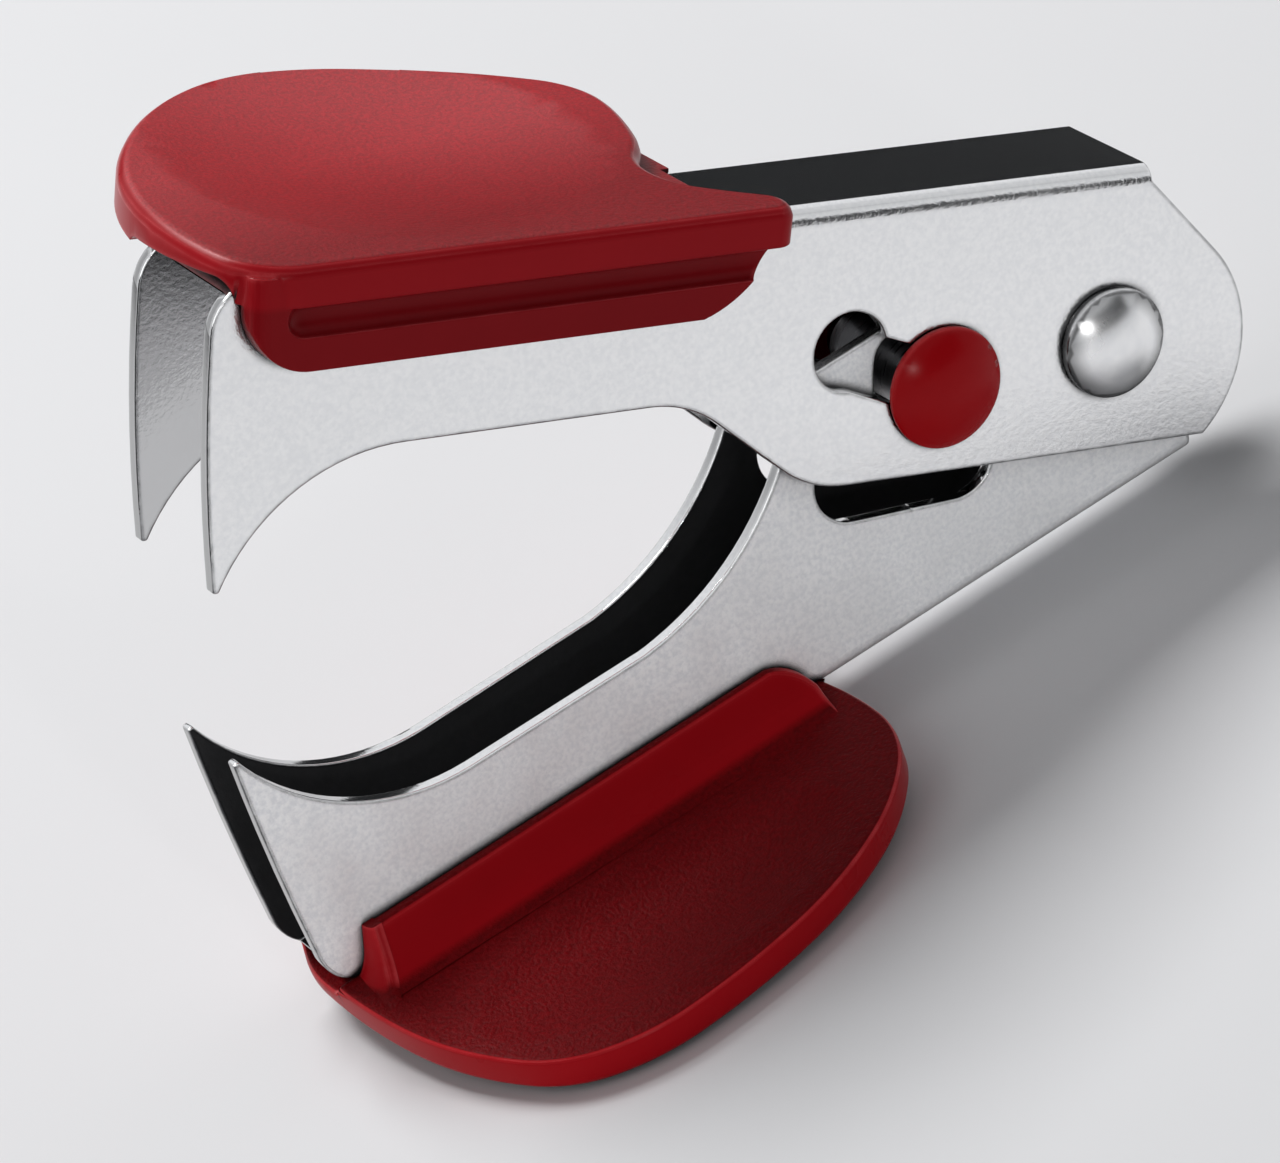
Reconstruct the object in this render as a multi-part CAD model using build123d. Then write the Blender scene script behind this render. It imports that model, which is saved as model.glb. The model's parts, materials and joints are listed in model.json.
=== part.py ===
"""A jaw staple remover with a lock button, as nine separate pieces, in millimetres.

Each jaw is drawn with its back plate level and the rivet's axis at the origin: X runs to the rear,
Y away from the near side, Z up. The upper pieces are then swung open about the rivet.
"""
import math
import os

from build123d import *

# How the two jaws stand in the finished part
OPEN_ANGLE = 24.886
BASE_Z = 13.596
MIDDLE_X = 24.425
MIDDLE_Y = 0.1555

# Sheet of the two pressed jaws
SHEET = 0.9
BEND = 1.2
BACK = 10.2
UPPER_HALF = 5.0
LOWER_HALF = 4.0
CLAW_HALF = 3.35
FRONT_X = -57.4

# Rivet
SHANK_R = 1.75
PIVOT_PLAY = 0.05
HEAD_R = 3.3
HEAD_H = 1.55
SET_R = 2.9
SET_H = 1.1

# Lock: where the pin rests in the upper jaw, and the slot that it slides in
PIN_X = -11.22
PIN_Z = -1.35
SLOT_FRONT = (-17.50, 1.44)
SLOT_FRONT_R = 2.35
SLOT_REAR_R = 2.6
SLOT_HALF = 1.75
SLOT_TILT = 20.4
JOURNAL_R = 1.65
BARREL_R = 2.2
BARREL_HALF = 4.0
BUTTON_R = 3.62
BUTTON_WALL = 0.3
BUTTON_H = 1.35
BUTTON_GAP = 0.08

# Window in the lower jaw that the barrel moves in
WINDOW_IN = 8.7
WINDOW_OUT = 15.1
WINDOW_TOP = 147.5
WINDOW_FRONT = (-17.45, 0.60)
WINDOW_LOW = (-11.13, -1.82)
WINDOW_HALF = 2.5

# Grips
RIM_TOP = 11.1
RIM_H = 2.4
RIM_OUT = 1.9
# The rim's rounded top edge in three steps: how high each one is and how far it leans in, in degrees
RIM_STEPS = [(0.36, 22.0), (0.25, 45.0), (0.14, 68.0)]
TILT = 5.5
DISH_X = -41.0
DISH_Y = 8.0
DISH_R = 13.5
DISH_DEPTH = 0.95
SCOOP_X = -41.0
SCOOP_Y = 13.4
SCOOP_LONG = 12.8
SCOOP_WIDE = 5.6
SCOOP_DEPTH = 0.7
SKIRT_T = 1.5
DEEP_SKIRT = 5.05
GROOVE_Z = 8.0
GROOVE_R = 1.15
GROOVE_OUT = 0.45
LOW_SKIRT = 6.8
ROOT_LEAN = 64.0
ROOT_COVE = 3.2
# Outline of each wing from its nose to its tail: a place and the way the edge heads there, in degrees
UPPER_WING = [
    (-57.8, 2.5, 90), (-52.0, 16.0, 47), (-42.2, 20.8, 0), (-31.6, 17.8, -25),
    (-24.9, 11.2, -87), (-25.7, 5.8, -106), (-27.7, 0.8, -88), (-23.2, -4.2, -31),
]
LOWER_WING = [
    (-57.4, 1.0, 90), (-53.4, 16.9, 57), (-44.1, 21.1, -2), (-29.1, 17.2, -31),
    (-23.1, 8.5, -90), (-23.9, -0.5, -86), (-22.6, -3.4, -45),
]

# Spring
WIRE_R = 0.4
COIL_R = 2.7
COIL_PITCH = 1.3
COIL_START = -55.0
COIL_TURNS = 2
LEG = 11.0


def across(sketch, half):
    """A side view drawn as (x, z), pushed out to both sides of the middle plane."""
    return extrude(Plane.XZ * sketch, amount=half, both=True)


def wedge_block(half, front_half, top):
    """A block 40 deep below a level top, drawn in steadily towards the front."""
    plan = Polygon((-60, -front_half), (12, -half), (12, half), (-60, front_half), align=None)
    return Pos(0, 0, top - 40) * extrude(plan, amount=40, dir=(0, 0, 1))


def folded_block(half, front_half):
    """The outside of a channel, with both long bends rounded."""
    block = wedge_block(half, front_half, BACK)
    bends = [e for e in block.edges().group_by(Axis.Z)[-1] if e.length > 60]
    return fillet(bends, BEND)


def channel(half, front_half):
    """A folded channel, open downwards."""
    return folded_block(half, front_half) - wedge_block(half - SHEET, front_half - SHEET, BACK - SHEET)


def upper_side():
    """The upper jaw seen from the side."""
    edges = [
        ThreePointArc((-56.95, -7.45), (-57.48, 0.2), (FRONT_X, 7.1)),
        ThreePointArc((FRONT_X, 7.1), (-56.5, 9.25), (-54.3, BACK)),
        Line((-54.3, BACK), (2.2, BACK)),
        Line((2.2, BACK), (2.2, 9.3)),
        Line((2.2, 9.3), (6.9, 4.72)),
        ThreePointArc((6.9, 4.72), (9.3, -1.0), (7.0, -6.58)),
        Line((7.0, -6.58), (-17.3, -6.55)),
        ThreePointArc((-17.3, -6.55), (-19.58, -6.17), (-21.61, -5.066)),
        Line((-21.61, -5.066), (-25.99, -1.734)),
        ThreePointArc((-25.99, -1.734), (-28.02, -0.63), (-30.3, -0.25)),
        Line((-30.3, -0.25), (-45.5, -0.25)),
        ThreePointArc((-45.5, -0.25), (-52.65, -2.56), (-56.6, -7.45)),
        Line((-56.6, -7.45), (-56.95, -7.45)),
    ]
    return make_face(edges)


def lower_side():
    """The lower jaw seen from the side, turned over so that its plate is on top."""
    edges = [
        ThreePointArc((-57.35, -6.4), (-57.6, 0.5), (-57.55, 7.0)),
        ThreePointArc((-57.55, 7.0), (-56.7, 9.3), (-54.6, BACK)),
        Line((-54.6, BACK), (3.2, BACK)),
        Line((3.2, BACK), (3.2, 8.6)),
        ThreePointArc((3.2, 8.6), (6.6, 4.6), (7.9, 0.0)),
        ThreePointArc((7.9, 0.0), (5.6, -5.6), (0.0, -8.05)),
        Line((0.0, -8.05), (-18.0, -8.05)),
        ThreePointArc((-18.0, -8.05), (-18.52, -7.9), (-18.82, -7.5)),
        ThreePointArc((-18.82, -7.5), (-19.25, -6.72), (-19.8, -5.9)),
        ThreePointArc((-19.8, -5.9), (-25.2, -0.7), (-33.0, 1.85)),
        Line((-33.0, 1.85), (-45.0, 1.85)),
        ThreePointArc((-45.0, 1.85), (-53.6, -1.55), (-57.0, -6.4)),
        Line((-57.0, -6.4), (-57.35, -6.4)),
    ]
    return make_face(edges)


def lock_slot():
    """The slot in the upper cheeks: two round ends joined by a narrower neck."""
    rear = Pos(PIN_X, PIN_Z) * Circle(SLOT_REAR_R)
    front = Pos(*SLOT_FRONT) * Circle(SLOT_FRONT_R)
    neck = Rectangle(7.0, 2 * SLOT_HALF, align=(Align.MAX, Align.CENTER))
    return rear + front + Pos(PIN_X, PIN_Z) * Rot(0, 0, -SLOT_TILT) * neck


def lock_window():
    """The bent window in the lower cheeks, with the lower jaw's own plate level below."""
    top = math.radians(WINDOW_TOP)
    low = math.radians(192.0)
    far = 40.0
    wedge = Polygon(
        (0, 0),
        (far * math.cos(top), far * math.sin(top)),
        (far * math.cos(low), far * math.sin(low)),
        align=None,
    )
    leg = (Circle(WINDOW_OUT) - Circle(WINDOW_IN)) & wedge
    corners = leg.vertices().sort_by(Axis.Y)[-2:]
    leg = fillet(corners, 1.6)
    dx = WINDOW_LOW[0] - WINDOW_FRONT[0]
    dz = WINDOW_LOW[1] - WINDOW_FRONT[1]
    turn = math.degrees(math.atan2(dz, dx))
    slot = Rectangle(math.hypot(dx, dz), 2 * WINDOW_HALF, align=(Align.MIN, Align.CENTER))
    slot = Pos(*WINDOW_FRONT) * Rot(0, 0, turn) * slot
    ends = Pos(*WINDOW_FRONT) * Circle(WINDOW_HALF) + Pos(*WINDOW_LOW) * Circle(WINDOW_HALF)
    return leg + slot + ends


def upper_jaw():
    """The wider jaw, with its slot and rivet holes."""
    jaw = channel(UPPER_HALF, UPPER_HALF) & across(upper_side(), 6)
    jaw -= across(lock_slot(), 6)
    jaw -= across(Circle(SHANK_R), 6)
    return jaw


def lower_jaw():
    """The narrower jaw, nested between the upper cheeks."""
    jaw = channel(LOWER_HALF, CLAW_HALF) & across(lower_side(), 6)
    jaw = Rot(180, 0, 0) * jaw
    jaw -= across(lock_window(), 6)
    jaw -= across(Circle(SHANK_R + PIVOT_PLAY), 6)
    return jaw


def heading(angle):
    """The direction of an angle in the plan."""
    return Vector(math.cos(math.radians(angle)), math.sin(math.radians(angle)))


def biarc(p, t, q, u):
    """Two arcs that leave p along t and reach q along u."""
    v = q - p
    w = t + u
    a = 4 - w.dot(w)
    b = 2 * v.dot(w)
    d = (-b + math.sqrt(b * b + 4 * a * v.dot(v))) / (2 * a)
    first = p + t * d
    last = q - u * d
    joint = (first + last) * 0.5
    return [TangentArc(p, joint, tangent=t), TangentArc(joint, q, tangent=(last - first).normalized())]


def grip_plan(half, wing):
    """The grip seen from above: one straight edge, a wide wing and a short tail."""
    edge = -(half + RIM_OUT)
    stops = [(Vector(x, y), heading(angle)) for x, y, angle in wing]
    nose, nose_way = stops[0]
    tail, tail_way = stops[-1]
    corner = Vector(tail.X - 0.3, edge)
    front = Vector(-52.6, edge)
    edges = []
    for (p, t), (q, u) in zip(stops, stops[1:]):
        edges += biarc(p, t, q, u)
    edges += biarc(tail, tail_way, corner, heading(180))
    edges.append(Line(corner, front))
    edges += biarc(front, heading(180), nose, nose_way)
    return make_face(edges)


def skirt_side(front, low, rear, round_r):
    """A skirt's side view: rounded at the front corner, swept up at the rear."""
    top = RIM_TOP - 0.6
    sweep_x = 1.3 * round_r
    sweep_z = 1.2 * round_r
    edges = [
        Line((front, top), (front, low + round_r)),
        ThreePointArc(
            (front, low + round_r),
            (front + 0.293 * round_r, low + 0.293 * round_r),
            (front + round_r, low),
        ),
        Line((front + round_r, low), (rear - sweep_x, low)),
        ThreePointArc(
            (rear - sweep_x, low),
            (rear - 0.5 * sweep_x, low + 0.29 * sweep_z),
            (rear, low + sweep_z),
        ),
        Line((rear, low + sweep_z), (rear, top)),
        Line((rear, top), (front, top)),
    ]
    return make_face(edges)


def bulge(long, wide, depth):
    """A wide shallow swelling about the origin, rounder across than along, for cutting a scoop."""
    tube = (wide ** 2 + depth ** 2) / (2 * depth)
    reach = (long ** 2 + depth ** 2) / (2 * depth)
    return Pos(0, 0, depth - reach) * Rot(90, 0, 0) * Torus(reach - tube, tube)


def slab(half, wing):
    """The rimmed plate of the grip, tipped up a little towards the wing, dished above and scooped below."""
    wall = RIM_H - sum(height for height, lean in RIM_STEPS)
    plate = extrude(grip_plan(half, wing), amount=wall)
    for height, lean in RIM_STEPS:
        top = plate.faces().sort_by(Axis.Z)[-1]
        plate += extrude(Face(top.outer_wire()), amount=height, taper=lean)
    ball = (DISH_R ** 2 + DISH_DEPTH ** 2) / (2 * DISH_DEPTH)
    plate -= Pos(DISH_X, DISH_Y, RIM_H + ball - DISH_DEPTH) * Rot(90, 0, 0) * Sphere(ball)
    plate -= Pos(SCOOP_X, SCOOP_Y, 0) * bulge(SCOOP_LONG, SCOOP_WIDE, SCOOP_DEPTH)
    edge = -(half + RIM_OUT)
    plate = Pos(0, -edge, -RIM_H) * plate
    return Pos(0, edge, RIM_TOP) * Rot(TILT, 0, 0) * plate


def deep_skirt(half, front):
    """The skirt on the straight side: a rounded front corner and a smooth groove below the rim."""
    plan = Rectangle(40, 2 * SKIRT_T, align=(Align.MIN, Align.MIN))
    corner = plan.vertices().sort_by(Axis.X)[:2].sort_by(Axis.Y)[0]
    plan = Pos(front, -half - SKIRT_T) * fillet(corner, SKIRT_T * 0.85)
    skirt = extrude(plan, amount=20) & across(skirt_side(front, DEEP_SKIRT, -23.3, 3.6), 30)
    start = Pos(front + 3.2, -half - SKIRT_T - GROOVE_OUT, GROOVE_Z)
    groove = Rot(0, 90, 0) * Cylinder(GROOVE_R, 40, align=(Align.CENTER, Align.CENTER, Align.MIN))
    return skirt - start * (groove + Sphere(GROOVE_R))


def wing_root(half):
    """The low skirt under the wing, which leans out and sweeps into the wing in one hollow curve."""
    edge = -(half + RIM_OUT)
    slope = math.tan(math.radians(TILT))
    lean = heading(ROOT_LEAN)
    flat = heading(TILT)
    lip = Vector(half + 0.35, LOW_SKIRT)
    under = RIM_TOP - RIM_H / math.cos(math.radians(TILT)) + 0.02
    rise = under + (lip.X - edge) * slope - lip.Y
    meet = lip + lean * (rise / (lean.Y - lean.X * slope))
    reach = ROOT_COVE * math.tan(math.radians(ROOT_LEAN - TILT) / 2)
    near = meet - lean * reach
    far = meet + flat * reach
    roof = far + Vector(0, 1)
    edges = [
        Line((half - 1, LOW_SKIRT), lip),
        Line(lip, near),
        TangentArc(near, far, tangent=lean),
        Line(far, roof),
        Line(roof, (half - 1, 10.6)),
        Line((half - 1, 10.6), (half - 1, LOW_SKIRT)),
    ]
    section = Plane((-60, 0, 0), x_dir=(0, 1, 0), z_dir=(1, 0, 0)) * make_face(edges)
    out = far.X + 1
    plan = Polygon((-54.2, 0), (-20, 0), (-20, out), (-56.4, out), (-54.2, half + 0.5), align=None)
    root = extrude(section, amount=40, dir=(1, 0, 0)) & extrude(plan, amount=20, dir=(0, 0, 1))
    return root & across(skirt_side(-58, LOW_SKIRT, -24.6, 1.7), 30)


def grip(half, front_half, front, wing):
    """A moulded grip that clasps a jaw: a slab, a grooved deep skirt and a low skirt under the wing."""
    saddle = Pos(-40, 0, 10.0) * Box(60, 2 * half + 1.2, 1.4)
    saddle &= across(skirt_side(-54.2, LOW_SKIRT, -25.2, 1.7), 30)
    body = slab(half, wing) + saddle + deep_skirt(half, front) + wing_root(half)
    return body - folded_block(half, front_half)


def domed_disc(radius, wall, height):
    """A disc that stands on the XZ plane towards +Y: a short wall with a shallow dome on it."""
    rise = height - wall
    ball = (radius ** 2 + rise ** 2) / (2 * rise)
    disc = Rot(-90, 0, 0) * Cylinder(radius, height, align=(Align.CENTER, Align.CENTER, Align.MIN))
    return disc & Pos(0, height - ball, 0) * Sphere(ball)


def rivet():
    """Shank, domed near head and the set-over far head."""
    shank = Rot(90, 0, 0) * Cylinder(SHANK_R, 2 * UPPER_HALF + 0.4)
    head = Rot(180, 0, 0) * Pos(0, UPPER_HALF, 0) * domed_disc(HEAD_R, HEAD_H * 0.35, HEAD_H)
    set_head = Pos(0, UPPER_HALF, 0) * domed_disc(SET_R, 0.3, SET_H)
    return shank + head + set_head


def lock_pin():
    """A barrel between the upper cheeks and a thinner journal through each slot."""
    barrel = Cylinder(BARREL_R, 2 * BARREL_HALF)
    journal = Cylinder(JOURNAL_R, 2 * (UPPER_HALF + 1.0))
    return Pos(PIN_X, 0, PIN_Z) * Rot(90, 0, 0) * (barrel + journal)


def lock_button(side):
    """A low domed cap with a socket for the pin's end."""
    cap = Pos(0, UPPER_HALF + BUTTON_GAP, 0) * domed_disc(BUTTON_R, BUTTON_WALL, BUTTON_H)
    cap -= Rot(90, 0, 0) * Cylinder(JOURNAL_R, 2 * (UPPER_HALF + 1.0))
    if side < 0:
        cap = Rot(180, 0, 0) * cap
    return Pos(PIN_X, 0, PIN_Z) * cap


def coil_point(turn):
    """A place on the coil and the direction it runs in there, for a turn in degrees."""
    a = math.radians(COIL_START + turn)
    total = coil_sweep()
    rise = COIL_PITCH / 360
    point = Vector(COIL_R * math.cos(a), rise * (turn - total / 2), COIL_R * math.sin(a))
    run = Vector(-COIL_R * math.sin(a), math.degrees(rise), COIL_R * math.cos(a))
    return point, run.normalized()


def coil_sweep():
    """How far the coil turns, so that the upper leg lies under the upper plate as the lower one does."""
    return -2 * COIL_START - OPEN_ANGLE + 360 * COIL_TURNS


def spring_path():
    """Lower leg, quarter turns of coil, upper leg."""
    total = coil_sweep()
    steps = math.ceil(total / 90)
    stops = [coil_point(total * i / steps) for i in range(steps + 1)]
    start, begin = stops[0]
    end, leave = stops[-1]
    edges = [Line(start - begin * LEG, start)]
    for (p, t), (q, u) in zip(stops, stops[1:]):
        edges += biarc(p, t, q, u)
    edges.append(Line(end, end + leave * LEG))
    return Wire(edges)


def torsion_spring():
    """One unbroken wire round the rivet, with a leg against each back plate."""
    path = spring_path()
    section = Plane(path @ 0, z_dir=path % 0) * RegularPolygon(WIRE_R, 8)
    return sweep(section, path=path)


def spring_gap():
    """The least space between one stretch of the wire and another, from points along it."""
    path = spring_path()
    count = 600
    points = [path @ (i / count) for i in range(count + 1)]
    skip = int(4 * WIRE_R / (path.length / count)) + 2
    least = 1e9
    for i, p in enumerate(points):
        for q in points[i + skip:]:
            least = min(least, (p - q).length)
    return least - 2 * WIRE_R


def placed(shape, opened):
    """Swing an upper piece open, then put the part's base at Z = 0 and its middle at the origin."""
    if opened:
        shape = Rot(0, OPEN_ANGLE, 0) * shape
    return Pos(MIDDLE_X, MIDDLE_Y, BASE_Z) * shape


def build():
    """Every piece by name, in its place."""
    lower_pad = Rot(180, 0, 0) * grip(LOWER_HALF, CLAW_HALF, -54.2, LOWER_WING)
    return {
        "lower_jaw": placed(lower_jaw(), False),
        "lower_grip": placed(lower_pad, False),
        "torsion_spring": placed(torsion_spring(), False),
        "upper_jaw": placed(upper_jaw(), True),
        "upper_grip": placed(grip(UPPER_HALF, UPPER_HALF, -55.7, UPPER_WING), True),
        "pivot_rivet": placed(rivet(), True),
        "lock_pin": placed(lock_pin(), True),
        "lock_button_near": placed(lock_button(-1), True),
        "lock_button_far": placed(lock_button(1), True),
    }


def main():
    os.makedirs("parts", exist_ok=True)
    boxes = []
    for name, shape in build().items():
        export_step(shape, "parts/" + name + ".step")
        box = shape.bounding_box()
        boxes.append(box)
        print(name, "solids", len(shape.solids()), "volume", round(shape.volume, 1),
              "from", tuple(round(v, 2) for v in box.min), "to", tuple(round(v, 2) for v in box.max))
    low = [min(tuple(b.min)[i] for b in boxes) for i in range(3)]
    high = [max(tuple(b.max)[i] for b in boxes) for i in range(3)]
    print("whole part from", [round(v, 3) for v in low], "to", [round(v, 3) for v in high])
    print("spring's least gap to itself, mm:", round(spring_gap(), 3))


if __name__ == "__main__":
    main()
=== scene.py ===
# %% [markdown]
# # A jaw staple remover, dressed for its portrait
# The measured solids come in first, as a frame that is never moved. Everything after that gives them what a
# camera would see: softened edges, plated steel with a fine grain, satin red mouldings and a wound spring.

# %% Load the measured frame
import json
import math

import bmesh
import bpy
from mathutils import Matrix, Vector


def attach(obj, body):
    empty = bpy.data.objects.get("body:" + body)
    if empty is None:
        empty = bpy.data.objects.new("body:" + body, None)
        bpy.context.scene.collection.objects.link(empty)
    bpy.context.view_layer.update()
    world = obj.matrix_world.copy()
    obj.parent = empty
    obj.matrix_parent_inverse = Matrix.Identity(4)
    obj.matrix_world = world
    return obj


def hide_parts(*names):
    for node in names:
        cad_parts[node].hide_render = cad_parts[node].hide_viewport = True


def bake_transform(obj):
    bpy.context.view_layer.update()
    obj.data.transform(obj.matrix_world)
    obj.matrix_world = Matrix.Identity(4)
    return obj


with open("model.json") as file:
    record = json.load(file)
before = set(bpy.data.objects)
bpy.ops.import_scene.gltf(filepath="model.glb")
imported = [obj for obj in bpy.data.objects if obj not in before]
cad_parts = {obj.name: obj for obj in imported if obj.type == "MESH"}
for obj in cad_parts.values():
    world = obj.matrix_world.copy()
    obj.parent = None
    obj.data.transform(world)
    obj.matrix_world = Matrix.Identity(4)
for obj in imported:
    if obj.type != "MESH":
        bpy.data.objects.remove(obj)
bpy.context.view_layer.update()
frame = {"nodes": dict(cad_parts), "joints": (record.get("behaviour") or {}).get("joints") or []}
nodes = frame["nodes"]
hinge = next(j for j in frame["joints"] if j["name"] == "jaw_close")
PIVOT = Vector(hinge["pos_m"])
OPEN_DEGREES = 24.886
MM = 0.001
print("pieces:", sorted(nodes), "pivot:", tuple(round(c, 5) for c in PIVOT))

# %% [markdown]
# ## Small tools for shader nodes
# Each finish is a small network. These helpers add a node, set its sockets by name and wire it, so that the
# cells below read like a recipe rather than like plumbing. A value that comes out of a node is written as a
# pair, the node and its output, and can stand wherever a number or a colour can.

# %% Node helpers
def add(tree, kind, **settings):
    """A new node; settings that match a property of the node set it, the others set the input of that name."""
    node = tree.nodes.new(kind)
    for key, value in settings.items():
        if hasattr(node, key):
            setattr(node, key, value)
        else:
            node.inputs[key.replace("_", " ")].default_value = value
    return node


def wire(tree, source, output, target, socket):
    """Join one node's output to another node's input."""
    tree.links.new(source.outputs[output], target.inputs[socket])


def feed(tree, value, target, socket):
    """Give a socket a number, a colour or a (node, output) pair."""
    if not isinstance(value, tuple):
        target.inputs[socket].default_value = value
    elif isinstance(value[0], bpy.types.Node):
        wire(tree, *value, target, socket)
    else:
        target.inputs[socket].default_value = (*value, 1.0)


def new_group(name, inputs, outputs):
    """An empty shader group with named sockets, given as (name, kind, default)."""
    tree = bpy.data.node_groups.new(name, "ShaderNodeTree")
    for label, kind, value in inputs:
        socket = tree.interface.new_socket(label, in_out="INPUT", socket_type="NodeSocket" + kind)
        socket.default_value = value
    for label, kind in outputs:
        tree.interface.new_socket(label, in_out="OUTPUT", socket_type="NodeSocket" + kind)
    return tree, tree.nodes.new("NodeGroupInput"), tree.nodes.new("NodeGroupOutput")


def place(tree, group, **values):
    """Put a group into a material with its own values."""
    node = tree.nodes.new("ShaderNodeGroup")
    node.node_tree = group
    for key, value in values.items():
        node.inputs[key.replace("_", " ")].default_value = value
    return node


def new_material(name):
    """A material with one Principled shader, ready to be wired."""
    material = bpy.data.materials.new(name)
    material.use_nodes = True
    tree = material.node_tree
    return material, tree, tree.nodes["Principled BSDF"]


print("node helpers ready")

# %% Mixing helpers
def ranged(tree, source, low, high, start=0.3, end=0.7):
    """Spread a value that runs from start to end over the range from low to high."""
    node = add(tree, "ShaderNodeMapRange")
    for label, value in (("From Min", start), ("From Max", end), ("To Min", low), ("To Max", high)):
        node.inputs[label].default_value = value
    feed(tree, source, node, "Value")
    return node, "Result"


def mixed(tree, mask, low, high):
    """Mix two numbers by a mask."""
    node = add(tree, "ShaderNodeMix", data_type="FLOAT")
    for socket, value in ((0, mask), (2, low), (3, high)):
        feed(tree, value, node, socket)
    return node, 0


def two_colours(tree, mask, first, second):
    """Mix two colours by a mask."""
    node = add(tree, "ShaderNodeMix", data_type="RGBA")
    for socket, value in ((0, mask), (6, first), (7, second)):
        feed(tree, value, node, socket)
    return node, 2


def worked_out(tree, operation, *values, clamp=False):
    """A sum, product or other step of arithmetic."""
    node = add(tree, "ShaderNodeMath", operation=operation, use_clamp=clamp)
    for socket, value in enumerate(values):
        feed(tree, value, node, socket)
    return node, 0


print("mixing helpers ready")

# %% [markdown]
# ## Effects that several finishes share
# Bare and plated edges take the light first, and every surface carries a little unevenness. Both are built once
# as groups. The edge group compares the true normal with one rounded over a small radius: where they
# differ, there is an edge, which the finishes treat as worn and paint with highlights, and on steel with dark
# lines. The grain group mixes a fine and a broad noise into a height and a mottling mask. The seam group finds
# the narrow places between two pieces, and with a wide reach the deep hollows, and gives the mask for painted
# shade there.

# %% The edge group, for wear and painted highlights
EDGE_BEGINS, EDGE_FULL = 0.998, 0.955
# This edge mask marks wear and also places painted highlights and dark lines
edge_wear_and_highlight, into, out = new_group(
    "worn_and_highlit_edge",
    [("Radius", "Float", 0.0002), ("Patchiness", "Float", 900.0)],
    [("Mask", "Float")],
)
rounded = add(edge_wear_and_highlight, "ShaderNodeBevel", samples=4)
facing = add(edge_wear_and_highlight, "ShaderNodeNewGeometry")
agree = add(edge_wear_and_highlight, "ShaderNodeVectorMath", operation="DOT_PRODUCT")
where = add(edge_wear_and_highlight, "ShaderNodeTexCoord")
spots = add(edge_wear_and_highlight, "ShaderNodeTexNoise", Detail=3.0)
wire(edge_wear_and_highlight, into, "Radius", rounded, "Radius")
wire(edge_wear_and_highlight, rounded, "Normal", agree, 0)
wire(edge_wear_and_highlight, facing, "True Normal", agree, 1)
wire(edge_wear_and_highlight, where, "Object", spots, "Vector")
wire(edge_wear_and_highlight, into, "Patchiness", spots, "Scale")
edge = ranged(edge_wear_and_highlight, (agree, "Value"), 0.0, 1.0, EDGE_BEGINS, EDGE_FULL)
patches = ranged(edge_wear_and_highlight, (spots, "Fac"), 0.6, 1.0, 0.35, 0.6)
feed(edge_wear_and_highlight, worked_out(edge_wear_and_highlight, "MULTIPLY", edge, patches, clamp=True), out, "Mask")
print("group:", edge_wear_and_highlight.name)

# %% The grain group
surface_grain, into, out = new_group(
    "surface_grain",
    [("Fine Scale", "Float", 2500.0), ("Broad Scale", "Float", 120.0), ("Fine Share", "Float", 0.8)],
    [("Height", "Float"), ("Mottle", "Float")],
)
where = add(surface_grain, "ShaderNodeTexCoord")
fine = add(surface_grain, "ShaderNodeTexNoise", Detail=2.0, Roughness=0.55)
broad = add(surface_grain, "ShaderNodeTexNoise", Detail=4.0, Roughness=0.6)
for noise, scale in ((fine, "Fine Scale"), (broad, "Broad Scale")):
    wire(surface_grain, where, "Object", noise, "Vector")
    wire(surface_grain, into, scale, noise, "Scale")
height = mixed(surface_grain, (into, "Fine Share"), (broad, "Fac"), (fine, "Fac"))
feed(surface_grain, height, out, "Height")
wire(surface_grain, broad, "Fac", out, "Mottle")
print("group:", surface_grain.name)

# %% The seam-shade group
SEAM_SHUT, SEAM_OPEN = 0.25, 0.80
# This mask darkens seams and hollows as painted shade
seam_shade, into, out = new_group(
    "painted_seam_shade",
    [("Reach", "Float", 0.0008), ("Gain", "Float", 1.0)],
    [("Mask", "Float")],
)
nearby = add(seam_shade, "ShaderNodeAmbientOcclusion", samples=6)
wire(seam_shade, into, "Reach", nearby, "Distance")
closed = ranged(seam_shade, (nearby, "AO"), 1.0, 0.0, SEAM_SHUT, SEAM_OPEN)
feed(seam_shade, worked_out(seam_shade, "MULTIPLY", closed, (into, "Gain"), clamp=True), out, "Mask")
print("group:", seam_shade.name)

# %% [markdown]
# ## Telling faces apart
# One pressing or moulding has faces with different finishes. Painting them by hand would be lost when the solid
# changes, so the materials ask each point where it lies and which way it looks, in the piece's own space. The
# answers then stay with the piece when a joint moves it.

# %% Masks from place and direction
SIDEWAYS = (0.0, 1.0, 0.0)
UPWARDS = (0.0, 0.0, 1.0)
up_of_upper = (math.sin(math.radians(OPEN_DEGREES)), 0.0, math.cos(math.radians(OPEN_DEGREES)))
up_of_lower = (0.0, 0.0, -1.0)


def along(tree, space, way):
    """How far a point lies ("Object") or how squarely a face looks ("Normal") along a direction."""
    where = add(tree, "ShaderNodeTexCoord")
    dot = add(tree, "ShaderNodeVectorMath", operation="DOT_PRODUCT")
    dot.inputs[1].default_value = way
    wire(tree, where, space, dot, 0)
    return dot, "Value"


def across(tree, way, start, end):
    """A mask that is 1 on faces square to a direction, whichever way they look."""
    either = worked_out(tree, "ABSOLUTE", along(tree, "Normal", way))
    return ranged(tree, either, 0.0, 1.0, start, end)


def between(tree, way, start, end):
    """A mask that grows from 0 to 1 between two places along a direction, in metres."""
    return ranged(tree, along(tree, "Object", way), 0.0, 1.0, start, end)


def face_up(tree):
    """A mask that is 1 where the surface looks up."""
    return ranged(tree, along(tree, "Normal", UPWARDS), 0.0, 1.0, 0.15, 0.50)


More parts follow.
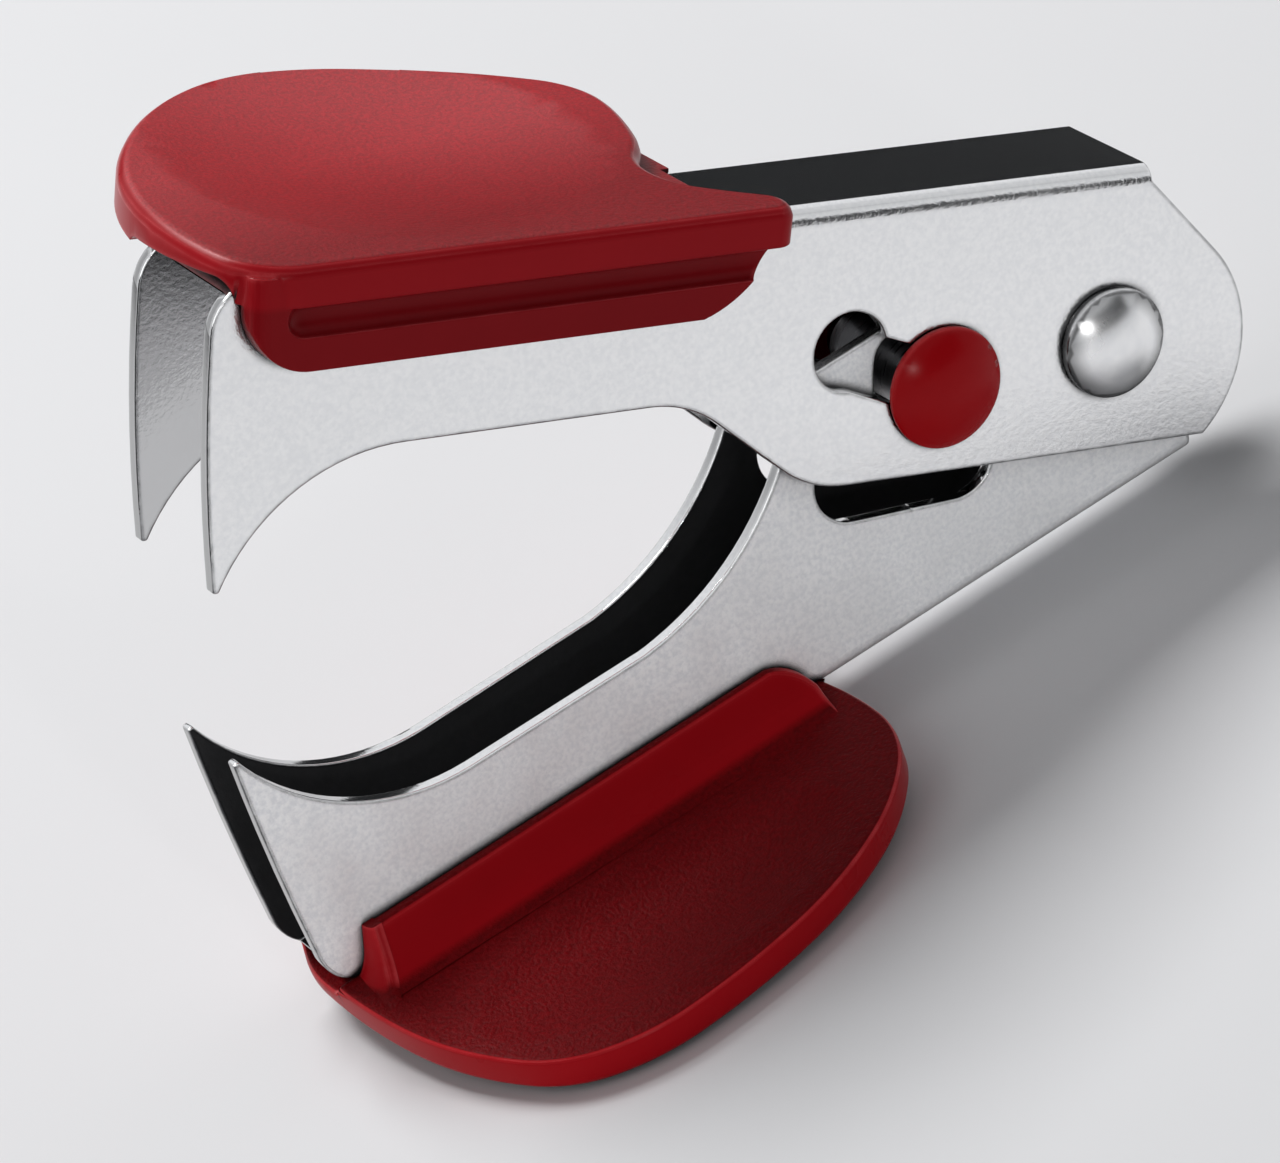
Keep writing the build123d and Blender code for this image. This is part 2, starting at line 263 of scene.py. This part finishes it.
def inward(tree):
    """A mask that is 1 on faces that look towards the middle plane from either side."""
    beside = worked_out(tree, "SUBTRACT", along(tree, "Object", SIDEWAYS), PIVOT.y)
    side = worked_out(tree, "SIGN", beside)
    outward = worked_out(tree, "MULTIPLY", side, along(tree, "Normal", SIDEWAYS))
    return ranged(tree, outward, 1.0, 0.0, -0.9, -0.5)


print("face masks ready")

# %% [markdown]
# ## Plated steel
# The jaws are pressed from sheet and plated bright, but the plate follows the rolled sheet below, so the shine
# breaks up into a fine orange peel. That is a bump with features of about a third of a millimetre, and a
# roughness that drifts slowly. Where the sheet was sheared it is a duller grey; on the rivet that grey is much
# darker and is painted shade, a dark ring round the dome. Worn edges are smoother; those that face up get a
# painted highlight, the others a painted dark line. Narrow seams get painted shade, and faces that look towards
# the middle plane, inside the folded channels, are painted dark as shade, darkest deep in the hollows.

# %% Plated steel for the jaws and the rivet
# A painted dark line of shade for steel edges that don't face up
EDGE_SHADE_LINE = (0.045, 0.045, 0.05)
# A painted highlight for steel edges that face up
EDGE_HIGHLIGHT = (0.96, 0.96, 0.965)
# Painted shade for narrow seams
SEAM_SHADE = (0.03, 0.03, 0.032)
# Painted shade, black, for faces inside the channels
BLACK_SHADE = (0.05, 0.05, 0.052)
# Painted shade, grey, for the more open inside faces of the upper jaw
GREY_SHADE = (0.66, 0.66, 0.665)
BRIGHT = (0.8, 0.8, 0.8)


def plated_steel(name, back, cheek_span, sheared_grey_and_ring_shade, fine_scale, peel, cheek_rough, plate_rough,
                 open_inside_shade, deep_inside_shade, shade_reach, shade_gain):
    """Bright plate over rolled sheet; back is the way its back plate faces, inside tones are painted shade and run
    from open to deep.
    """
    material, tree, shader = new_material(name)
    grain = place(tree, surface_grain, Fine_Scale=fine_scale, Broad_Scale=220.0, Fine_Share=0.9)
    wear_and_highlight = place(tree, edge_wear_and_highlight, Radius=0.00034, Patchiness=1400.0)
    narrow = place(tree, seam_shade, Reach=shade_reach, Gain=shade_gain)
    # A wide reach finds the deep hollows inside the channels, painted darkest as shade
    sunk = place(tree, seam_shade, Reach=0.008, Gain=1.6)
    cheek = across(tree, SIDEWAYS, *cheek_span)
    flat = across(tree, back, 0.7, 0.95)
    drift = ranged(tree, (grain, "Mottle"), cheek_rough * 0.85, cheek_rough * 1.2)
    shine = mixed(tree, cheek, plate_rough, drift)
    rough = mixed(tree, (wear_and_highlight, "Mask"), shine, plate_rough * 0.8)
    speck = ranged(tree, (grain, "Height"), 0.0, 1.0, 0.36, 0.64)
    plate = two_colours(tree, speck, (0.92, 0.925, 0.935), (1.0, 1.0, 1.0))
    faces = worked_out(tree, "ADD", cheek, flat, clamp=True)
    # On the rivet this grey is painted shade, a dark ring round the dome
    sheared_and_ring_shaded = two_colours(tree, faces, (sheared_grey_and_ring_shade,) * 3, plate)
    # Faces that look towards the middle plane are painted dark as shade, darker deep inside
    hollow_shade = two_colours(tree, (sunk, "Mask"), open_inside_shade, deep_inside_shade)
    inward_shaded = two_colours(tree, inward(tree), sheared_and_ring_shaded, hollow_shade)
    # Edges that face up get a painted highlight, the others a painted dark line of shade
    edge_light_and_shade = two_colours(tree, face_up(tree), EDGE_SHADE_LINE, EDGE_HIGHLIGHT)
    edged = two_colours(tree, (wear_and_highlight, "Mask"), inward_shaded, edge_light_and_shade)
    # Narrow seams are painted dark as shade
    seam_shaded = two_colours(tree, (narrow, "Mask"), edged, SEAM_SHADE)
    bump = add(tree, "ShaderNodeBump", Distance=0.00006)
    feed(tree, mixed(tree, cheek, peel * 0.15, peel), bump, "Strength")
    wire(tree, grain, "Height", bump, "Height")
    shader.inputs["Metallic"].default_value = 1.0
    feed(tree, seam_shaded, shader, "Base Color")
    feed(tree, rough, shader, "Roughness")
    wire(tree, bump, "Normal", shader, "Normal")
    return material


JAW_SHEET = dict(
    cheek_span=(0.5, 0.95), sheared_grey_and_ring_shade=0.42, fine_scale=3600.0, plate_rough=0.10,
    deep_inside_shade=BLACK_SHADE, shade_reach=0.0008, shade_gain=2.2,
)
upper_steel = plated_steel(
    "plated_steel_upper", up_of_upper, peel=0.42, cheek_rough=0.20, open_inside_shade=GREY_SHADE, **JAW_SHEET,
)
lower_steel = plated_steel(
    "plated_steel_lower", up_of_lower, peel=0.50, cheek_rough=0.82, open_inside_shade=BLACK_SHADE, **JAW_SHEET,
)
# On the rivet, the dark grey off the square faces and the wide seam reach paint a ring of shade round the dome
rivet_steel = plated_steel(
    "rivet_plate", (0.0, 0.0, 0.0), cheek_span=(0.83, 0.93), sheared_grey_and_ring_shade=0.16, fine_scale=900.0, peel=0.04,
    cheek_rough=0.24, plate_rough=0.16, open_inside_shade=BRIGHT, deep_inside_shade=BRIGHT, shade_reach=0.0028, shade_gain=1.3,
)
print("finishes:", upper_steel.name, lower_steel.name, rivet_steel.name)

# %% [markdown]
# ## Drawn and turned steel
# The spring wire and the pin are not plated. Drawing and turning leave fine lines, made here with a noise that
# is stretched hard along one direction. The pin is blackened.

# %% Lined steel for the wire and the pin
def lined_steel(name, stretch, colour, dark):
    """Bare steel with fine lines."""
    material, tree, shader = new_material(name)
    where = add(tree, "ShaderNodeTexCoord")
    squeeze = add(tree, "ShaderNodeMapping", Scale=stretch)
    lines = add(tree, "ShaderNodeTexNoise", Scale=1.0, Detail=3.0)
    wire(tree, where, "Object", squeeze, "Vector")
    wire(tree, squeeze, "Vector", lines, "Vector")
    bump = add(tree, "ShaderNodeBump", Strength=0.2, Distance=0.00003)
    wire(tree, lines, "Fac", bump, "Height")
    shader.inputs["Metallic"].default_value = 1.0
    feed(tree, two_colours(tree, (lines, "Fac"), dark, colour), shader, "Base Color")
    feed(tree, ranged(tree, (lines, "Fac"), 0.24, 0.42), shader, "Roughness")
    wire(tree, bump, "Normal", shader, "Normal")
    return material


wire_steel = lined_steel("spring_steel", (900.0, 5200.0, 900.0), (0.62, 0.62, 0.63), (0.36, 0.36, 0.37))
pin_steel = lined_steel("pin_steel", (600.0, 6000.0, 600.0), (0.10, 0.10, 0.105), (0.04, 0.04, 0.042))
print("finishes:", wire_steel.name, pin_steel.name)

# %% [markdown]
# ## Red mouldings
# The grips are satin plastic with a fine spark texture where the thumb rests; rim, skirts and underside come from
# a polished part of the mould. The material tells them apart by the direction that the surface faces: the thumb
# face looks along the grip's own up direction. On the upper grip the far half of that face has a thin veil of shine
# and is painted lighter as light, its near half darker as shade; the lower grip's thumb face is painted dark as
# shade. Upper edges get a painted highlight and a coat of shine, below the rim the red is painted deeper as shade,
# and seams, grooves and inward faces are painted dark as shade. The buttons are the polished red alone, painted
# dark as shade underneath.

# %% Satin and polished red
THUMB_WAY = (-0.2, 1.0, 0.0)
THUMB_SPAN = (-1.0 * MM, 11.0 * MM)
rim_foot = PIVOT.dot(Vector(up_of_upper)) + 8.7 * MM
RIM_SPAN = (rim_foot - 0.15 * MM, rim_foot + 0.25 * MM)
PLASTIC_TINT = (1.0, 0.72, 0.72, 1.0)
VEIL_ROUGH = 0.32


def scaled(colour, share, lift=0.0):
    """A colour made lighter or darker."""
    return tuple(c * share + lift for c in colour)


def red_moulding(name, up, deep, lit, polished_rough, gloss, thumb_shade_and_light=(1.0, 1.0), veils=(0.0, 0.0),
                 skirt_shade_share=1.0, shade_reach=0.0007, shade_gain=1.0):
    """Red plastic, textured where it faces the thumb; pairs run from that face's near half to its far half, the
    tone pair as painted shade and light.
    """
    material, tree, shader = new_material(name)
    thumb = across(tree, up, 0.80, 0.90)
    # The far half of the upper thumb face is painted lighter as light, the near half darker as shade; it also
    # carries the veil of shine
    far_half = between(tree, THUMB_WAY, *THUMB_SPAN)
    # Below the rim the red is painted deeper as the rim's shade
    rim = between(tree, up, *RIM_SPAN)
    grain = place(tree, surface_grain, Fine_Scale=4000.0, Broad_Scale=90.0, Fine_Share=0.9)
    wear_and_highlight = place(tree, edge_wear_and_highlight, Radius=0.0004, Patchiness=700.0)
    # Seams and grooves get painted shade
    narrow = place(tree, seam_shade, Reach=shade_reach, Gain=shade_gain)
    pebble = ranged(tree, (grain, "Height"), 0.0, 1.0, 0.36, 0.64)
    rim_shade_tones = [
        two_colours(tree, (grain, "Mottle"), scaled(deep, share), scaled(lit, share))
        for share in (skirt_shade_share, 1.0)
    ]
    thumb_shaded_and_lit = [
        two_colours(tree, pebble, scaled(deep, share * 0.85), scaled(lit, share))
        for share in thumb_shade_and_light
    ]
    body = two_colours(tree, thumb, two_colours(tree, rim, *rim_shade_tones), two_colours(tree, far_half, *thumb_shaded_and_lit))
    # Upper edges get a painted highlight, a paler red, and a coat of shine
    shine_and_highlight_edges = mixed(tree, face_up(tree), 0.0, (wear_and_highlight, "Mask"))
    corner = mixed(tree, thumb, shine_and_highlight_edges, 0.0)
    edge_highlighted = two_colours(tree, corner, body, scaled(lit, 1.4, 0.02))
    # Seams, grooves and inward faces, such as the buttons' undersides, are painted dark as shade
    seam_and_inward_shade = worked_out(tree, "MAXIMUM", (narrow, "Mask"), inward(tree))
    dark = two_colours(tree, seam_and_inward_shade, edge_highlighted, scaled(deep, 0.12))
    satin = ranged(tree, (grain, "Mottle"), 0.40, 0.50)
    polish = ranged(tree, (grain, "Mottle"), polished_rough, polished_rough + 0.08)
    film = mixed(tree, thumb, 0.0, mixed(tree, far_half, *veils))
    buffed = ranged(tree, corner, 0.0, 0.8, 0.0, 1.0)
    bump = add(tree, "ShaderNodeBump", Distance=0.00009)
    feed(tree, ranged(tree, thumb, 0.03, 1.0, 0.0, 1.0), bump, "Strength")
    wire(tree, grain, "Height", bump, "Height")
    shader.inputs["Coat Roughness"].default_value = VEIL_ROUGH
    shader.inputs["Specular IOR Level"].default_value = gloss
    shader.inputs["Specular Tint"].default_value = PLASTIC_TINT
    feed(tree, dark, shader, "Base Color")
    feed(tree, mixed(tree, thumb, polish, satin), shader, "Roughness")
    feed(tree, worked_out(tree, "MAXIMUM", film, buffed), shader, "Coat Weight")
    wire(tree, bump, "Normal", shader, "Normal")
    return material


# The upper grip is painted deeper below the rim and lighter on the far half of its thumb face, as light and shade
upper_red = red_moulding(
    "red_grip_upper", up_of_upper, deep=(0.29, 0.0028, 0.007), lit=(0.37, 0.0045, 0.010),
    polished_rough=0.26, gloss=0.12, thumb_shade_and_light=(0.82, 1.44), veils=(0.45, 1.0),
    skirt_shade_share=0.72, shade_reach=0.0026, shade_gain=1.5,
)
# The lower grip's thumb face is painted dark as the shadow of the jaws
lower_red = red_moulding(
    "red_grip_lower", up_of_lower, deep=(0.36, 0.0028, 0.007), lit=(0.46, 0.0045, 0.010),
    polished_rough=0.26, gloss=0.06, thumb_shade_and_light=(0.40, 0.40),
)
button_red = red_moulding(
    "red_button", (0.0, 0.0, 0.0), deep=(0.36, 0.0022, 0.005), lit=(0.45, 0.0035, 0.007),
    polished_rough=0.20, gloss=0.13,
)
print("finishes:", upper_red.name, lower_red.name, button_red.name)

# %% [markdown]
# ## Dress the measured solids
# The solids have true shapes but knife edges. A weld joins their faces, a planar dissolve clears the triangles
# from flat faces, and a small bevel softens the sheared edges so that they catch a line of light. The bevel isn't
# clamped, because one short edge would then narrow all the others; a second weld closes what it leaves.

# %% Soften and paint each solid
# For each solid: its finish, the width of its soft edges in millimetres, and their steps
FINISH = {
    "upper_jaw": (upper_steel, 0.13, 3),
    "lower_jaw": (lower_steel, 0.13, 3),
    "pivot_rivet": (rivet_steel, 0.05, 2),
    "lock_pin": (pin_steel, 0.08, 2),
    "upper_grip": (upper_red, 0.08, 3),
    "lower_grip": (lower_red, 0.32, 4),
    "lock_button_near": (button_red, 0.06, 2),
    "lock_button_far": (button_red, 0.06, 2),
}
JOIN_REACH, CLOSE_REACH = 1e-6, 2e-6
FLAT_ANGLE, SHARP_ANGLE = math.radians(0.2), math.radians(38)


def smooth_faces(mesh):
    """Shade every face smoothly."""
    for face in mesh.polygons:
        face.use_smooth = True


def soften(obj, width, steps):
    """Join the faces, clear flat ones and round the sharp edges."""
    join = obj.modifiers.new("join_faces", "WELD")
    join.merge_threshold = JOIN_REACH
    flat = obj.modifiers.new("clear_flats", "DECIMATE")
    flat.decimate_type = "DISSOLVE"
    flat.angle_limit = FLAT_ANGLE
    edge = obj.modifiers.new("soft_edges", "BEVEL")
    edge.width = width * MM
    edge.segments = steps
    edge.limit_method = "ANGLE"
    edge.angle_limit = SHARP_ANGLE
    edge.use_clamp_overlap = False
    close = obj.modifiers.new("close_up", "WELD")
    close.merge_threshold = CLOSE_REACH
    even = obj.modifiers.new("even_shine", "WEIGHTED_NORMAL")
    even.keep_sharp = False
    even.weight = 60
    smooth_faces(obj.data)


for name, (material, width, steps) in FINISH.items():
    obj = nodes[name]
    obj.data.materials.clear()
    obj.data.materials.append(material)
    soften(obj, width, steps)
print("dressed:", len(FINISH), "solids")

# %% [markdown]
# ## The front corner of the lower wing
# On the real moulding, the root of the lower wing doesn't stop square at the front: it turns in a hollow curve and
# dies away against the cheek. The solid has the root alone. This small corner continues the root's own section, a
# straight lean and a cove, round a quarter of an ellipse. A lathe would give a circle, so the rows are written out.

# %% The corner's section and rows
# All in millimetres and degrees; a section's points are (y, z)
COVE_MIDDLE = (-7.769, 6.769)
COVE_R = 3.17
COVE_START, COVE_TURN, COVE_STEPS = -26.0, -58.4, 8
LIP = (-4.222, 6.81)
WING_FOOT = (-7.46, 3.35)
CHEEK_Y = -3.3
ROOT_END_X, ROOT_END_Y, ROOT_SLANT = -29.775, -4.34, 0.5365
LIP_FRONT_X, FOOT_RUN = -30.1, 2.2
LID_X, BASE_X = -29.4, -30.9
LAP = 0.45
CORNER_STEPS = 10


def root_section():
    """The root's section from its lip down the cove to the wing."""
    turns = [math.radians(COVE_START + COVE_TURN * i / COVE_STEPS) for i in range(COVE_STEPS + 1)]
    cove = [(COVE_MIDDLE[0] + COVE_R * math.cos(a), COVE_MIDDLE[1] + COVE_R * math.sin(a)) for a in turns]
    return [LIP] + cove + [WING_FOOT]


def corner_rows(section, steps):
    """Rows of points: one that laps over the root's end, then a quarter turn towards the cheek."""
    depth = LIP[0] - WING_FOOT[0]
    ends = [ROOT_END_X + (y - ROOT_END_Y) * ROOT_SLANT for y, z in section]
    fronts = [LIP_FRONT_X + FOOT_RUN * (y - LIP[0]) / depth for y, z in section]
    rows = [[(x + LAP, y, z) for x, (y, z) in zip(ends, section)]]
    for j in range(steps + 1):
        turn = math.radians(90.0 * j / steps)
        rows.append([
            (x - (x - front) * math.sin(turn), CHEEK_Y + (y - CHEEK_Y) * math.cos(turn), z)
            for x, front, (y, z) in zip(ends, fronts, section)
        ])
    return rows


rows = corner_rows(root_section(), CORNER_STEPS)
print("corner rows:", len(rows), "points in each:", len(rows[0]))

# %% Close the corner and fix it to the lower half
def corner_mesh(rows):
    """A closed mesh: the turned skin, a lid, a base and two end faces."""
    count = len(rows[0])
    points = [point for row in rows for point in row]
    lid, base = len(points), len(points) + 1
    points += [(LID_X, CHEEK_Y, LIP[1]), (BASE_X, CHEEK_Y, WING_FOOT[1])]
    faces = []
    for j in range(len(rows) - 1):
        here, there = j * count, (j + 1) * count
        faces += [(here + i, here + i + 1, there + i + 1, there + i) for i in range(count - 1)]
        faces += [(lid, here, there), (base, there + count - 1, here + count - 1)]
    last = (len(rows) - 1) * count
    faces.append((lid, base, *range(count - 1, -1, -1)))
    faces.append((base, lid, *range(last, last + count)))
    mesh = bpy.data.meshes.new("lower_wing_corner")
    mesh.from_pydata([tuple(c * MM for c in point) for point in points], [], faces)
    shape = bmesh.new()
    shape.from_mesh(mesh)
    bmesh.ops.recalc_face_normals(shape, faces=shape.faces[:])
    shape.to_mesh(mesh)
    shape.free()
    return mesh


def put(name, data):
    """A new object in the scene."""
    obj = bpy.data.objects.new(name, data)
    bpy.context.scene.collection.objects.link(obj)
    return obj


mesh = corner_mesh(rows)
smooth_faces(mesh)
mesh.set_sharp_from_angle(angle=math.radians(40))
mesh.materials.append(lower_red)
corner = put("lower_wing_corner", mesh)
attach(corner, "lower_half")
print("corner faces:", len(mesh.polygons))

# %% [markdown]
# ## The spring
# Behind the cheeks, a few turns of wire round the rivet hold the jaws open. It is drawn as one curve, a formula
# for the turns with a straight leg at each end, and given its thickness by a bevel.

# %% The line of the wire
WIRE_R = 0.4 * MM
COIL_R = 2.7 * MM
PITCH = 1.3 * MM
COIL_START = -55.0
COIL_SWEEP = -2 * COIL_START - OPEN_DEGREES + 720
COIL_STEPS = 90
LEG = 11.0 * MM
LEG_STEPS = 12


def coil_point(turn):
    """A place on the coil, and the direction it runs in, for a turn in degrees."""
    a = math.radians(COIL_START + turn)
    climb = PITCH * (turn - COIL_SWEEP / 2) / 360
    point = PIVOT + Vector((COIL_R * math.cos(a), climb, COIL_R * math.sin(a)))
    run = Vector((-COIL_R * math.sin(a), PITCH / math.tau, COIL_R * math.cos(a)))
    return point, run.normalized()


def wire_line():
    """Points along the lower leg, the turns and the upper leg."""
    stops = [coil_point(COIL_SWEEP * i / COIL_STEPS) for i in range(COIL_STEPS + 1)]
    start, begin = stops[0]
    end, leave = stops[-1]
    lower = [start - begin * LEG * (1 - i / LEG_STEPS) for i in range(LEG_STEPS)]
    upper = [end + leave * LEG * (i + 1) / LEG_STEPS for i in range(LEG_STEPS)]
    return lower + [p for p, _ in stops] + upper


line = wire_line()
print("spring points:", len(line))

# %% Give the wire its thickness
curve = bpy.data.curves.new("spring_wire", "CURVE")
curve.dimensions = "3D"
curve.bevel_depth = WIRE_R
curve.bevel_resolution = 4
curve.use_fill_caps = True
spline = curve.splines.new("POLY")
spline.points.add(len(line) - 1)
for point, place_at in zip(spline.points, line):
    point.co = (*place_at, 1.0)
draft = put("spring_draft", curve)
bpy.context.view_layer.update()
mesh = bpy.data.meshes.new_from_object(draft.evaluated_get(bpy.context.evaluated_depsgraph_get()))
bpy.data.objects.remove(draft)
spring = put("wound_spring", mesh)
smooth_faces(mesh)
mesh.materials.clear()
mesh.materials.append(wire_steel)
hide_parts("torsion_spring")
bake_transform(spring)
print("spring faces:", len(mesh.polygons))

# %% [markdown]
# ## Floor, light and camera
# A pale floor, one soft light from above and behind, a weak one from the left and a small one in front are
# enough: bright metal is drawn by what it mirrors. So three black cards, which only reflections see, give the
# steel its dark side, and mirrors see a brighter sky than the one that lights the room. The camera stands where
# the photograph was taken from, a long way off with a long lens.

# %% A pale floor
FLOOR_HALF, FLOOR_DROP = 3.0, 0.0002


def matt(name, colour, rough, specular):
    """A plain matt material for things around the part."""
    material, tree, shader = new_material(name)
    shader.inputs["Base Color"].default_value = (*colour, 1.0)
    shader.inputs["Roughness"].default_value = rough
    shader.inputs["Specular IOR Level"].default_value = specular
    return material


def flat_sheet(name, half_x, half_y, drop, material):
    """A flat rectangle around the origin that isn't part of the object."""
    mesh = bpy.data.meshes.new(name)
    corners = [(-half_x, -half_y), (half_x, -half_y), (half_x, half_y), (-half_x, half_y)]
    mesh.from_pydata([(x, y, -drop) for x, y in corners], [], [(0, 1, 2, 3)])
    mesh.materials.append(material)
    sheet = put(name, mesh)
    return sheet


floor_paint = matt("pale_floor", (0.78, 0.782, 0.795), 0.9, 0.1)
floor = flat_sheet("floor", FLOOR_HALF, FLOOR_HALF, FLOOR_DROP, floor_paint)
print("floor:", tuple(floor.dimensions))

# %% Lights
MIDDLE = Vector((0.0, 0.0, 0.024))


def aimed(place_at, front):
    """The turn that points an object's front axis at the middle of the part."""
    return (MIDDLE - Vector(place_at)).to_track_quat(front, "Y").to_euler()


def soft_light(name, place_at, size, watts):
    """A square soft light that looks at the part."""
    lamp = bpy.data.lights.new(name, "AREA")
    lamp.size = size
    lamp.energy = watts
    obj = put(name, lamp)
    obj.location = place_at
    obj.rotation_euler = aimed(place_at, "-Z")
    return obj


lights = [
    soft_light("key_light", (-0.08, 0.37, 0.72), 0.34, 5.4),
    soft_light("side_light", (-0.50, -0.10, 0.45), 0.45, 0.5),
    soft_light("front_light", (-0.08, -0.60, 0.16), 0.03, 0.30),
]
print("lights:", [light.name for light in lights])

# %% Black cards for the mirrors
def dark_card(name, place_at, width, height):
    """A black card that only mirrors see, to draw the steel's dark side."""
    card = flat_sheet(name, width / 2, height / 2, 0.0, matt(name, (0.03, 0.031, 0.032), 1.0, 0.0))
    card.location = place_at
    card.rotation_euler = aimed(place_at, "Z")
    card.visible_camera = False
    card.visible_diffuse = False
    card.visible_shadow = False
    card.visible_transmission = False
    return card


cards = [
    dark_card("dark_card_back", (0.28, 0.41, 0.07), 0.9, 0.22),
    dark_card("dark_card_left", (-0.42, -0.16, 0.12), 0.45, 0.26),
    dark_card("dark_card_front", (0.22, -0.72, 0.14), 0.9, 0.30),
]
print("cards:", [card.name for card in cards])

# %% A pale sky
LIT_BY, MIRRORED = 0.20, 0.85
world = bpy.data.worlds.new("pale_sky")
bpy.context.scene.world = world
world.use_nodes = True
tree = world.node_tree
sky = tree.nodes["Background"]
sky.inputs["Color"].default_value = (0.86, 0.87, 0.89, 1.0)
ray = add(tree, "ShaderNodeLightPath")
seen = worked_out(tree, "ADD", (ray, "Is Camera Ray"), (ray, "Is Glossy Ray"), clamp=True)
shown = worked_out(tree, "ADD", seen, (ray, "Is Transmission Ray"), clamp=True)
feed(tree, ranged(tree, shown, LIT_BY, MIRRORED, 0.0, 1.0), sky, "Strength")
print("sky:", world.name)

# %% Camera
LENS_MM, SENSOR_MM = 180.947, 36.0
CAMERA_TURN = (57.3948, 19.31675, -30.9628)
CAMERA_STAND = Vector((-0.1082093, -0.297823, 0.19960813))
CAMERA_NUDGE = Vector((-0.46 * MM, 0.09 * MM, 0.0))
camera_data = bpy.data.cameras.new("camera")
camera_data.lens = LENS_MM
camera_data.sensor_width = SENSOR_MM
camera_data.clip_start = 0.01
camera = put("camera", camera_data)
camera.rotation_euler = [math.radians(a) for a in CAMERA_TURN]
camera.location = CAMERA_STAND + camera.rotation_euler.to_matrix() @ CAMERA_NUDGE
bpy.context.scene.camera = camera
bpy.context.scene.view_settings.view_transform = "Standard"
print("camera at", tuple(round(c, 4) for c in camera.location))
